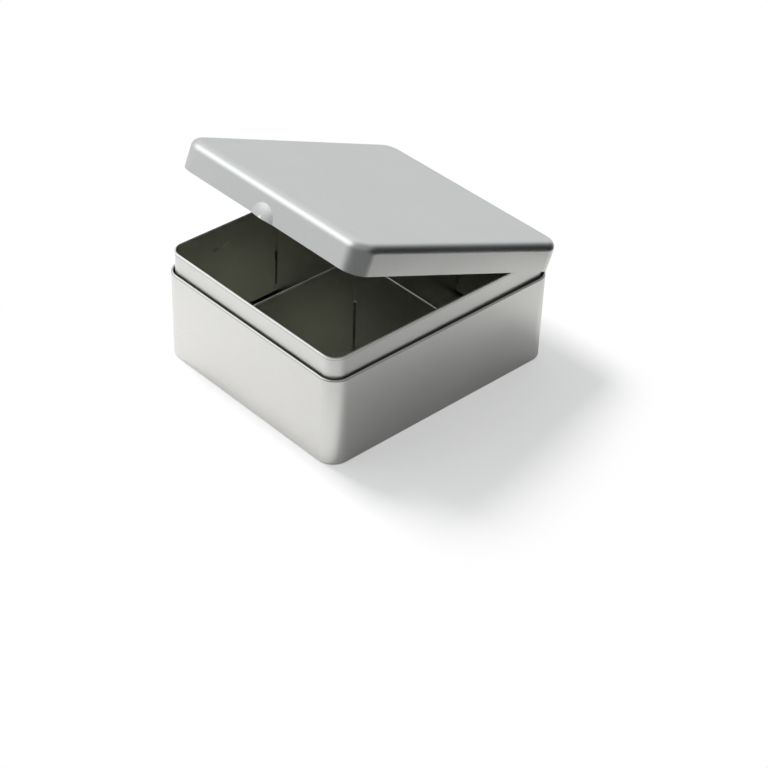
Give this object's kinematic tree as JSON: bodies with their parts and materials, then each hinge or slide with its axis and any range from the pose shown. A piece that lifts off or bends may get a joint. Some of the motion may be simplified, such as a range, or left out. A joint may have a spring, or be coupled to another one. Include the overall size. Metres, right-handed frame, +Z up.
{
  "type": "divided tin box",
  "caption": "Rectangular hinged-lid tin box of satin tinplate with an inner sleeve that stands up as its neck, a rolled rim, thumb dimple and crossed inner dividers, shown with its lid ajar.",
  "frame": {"origin": "on the table, under the middle of the footprint of the tin with its lid ajar", "axes": "+Z up, X along the hinge at the back, +Y from the front with the thumb dimple to the hinge; the body is 160 mm wide in X and 184 mm deep in Y"},
  "size_m": [0.16, 0.1896, 0.1486],
  "materials": {
    "tinplate_outside": "satin",
    "tinplate_inside": "satin",
    "hinge_wire": "satin"
  },
  "bodies": {
    "tin": {"body_shell": "tinplate_outside", "inner_sleeve": "tinplate_outside", "base_panel": "tinplate_inside", "divider_long": "tinplate_inside", "divider_cross": "tinplate_inside", "hinge_pin_left": "hinge_wire", "hinge_pin_right": "hinge_wire"},
    "lid": {"lid": "tinplate_outside"}
  },
  "joints": [
    {"name": "lid_hinge", "type": "hinge", "parent": "tin", "child": "lid", "pos_m": [0, 0.09048, 0.0631], "axis": [-1, 0, 0], "range_deg": [-22, 83]}
  ]
}
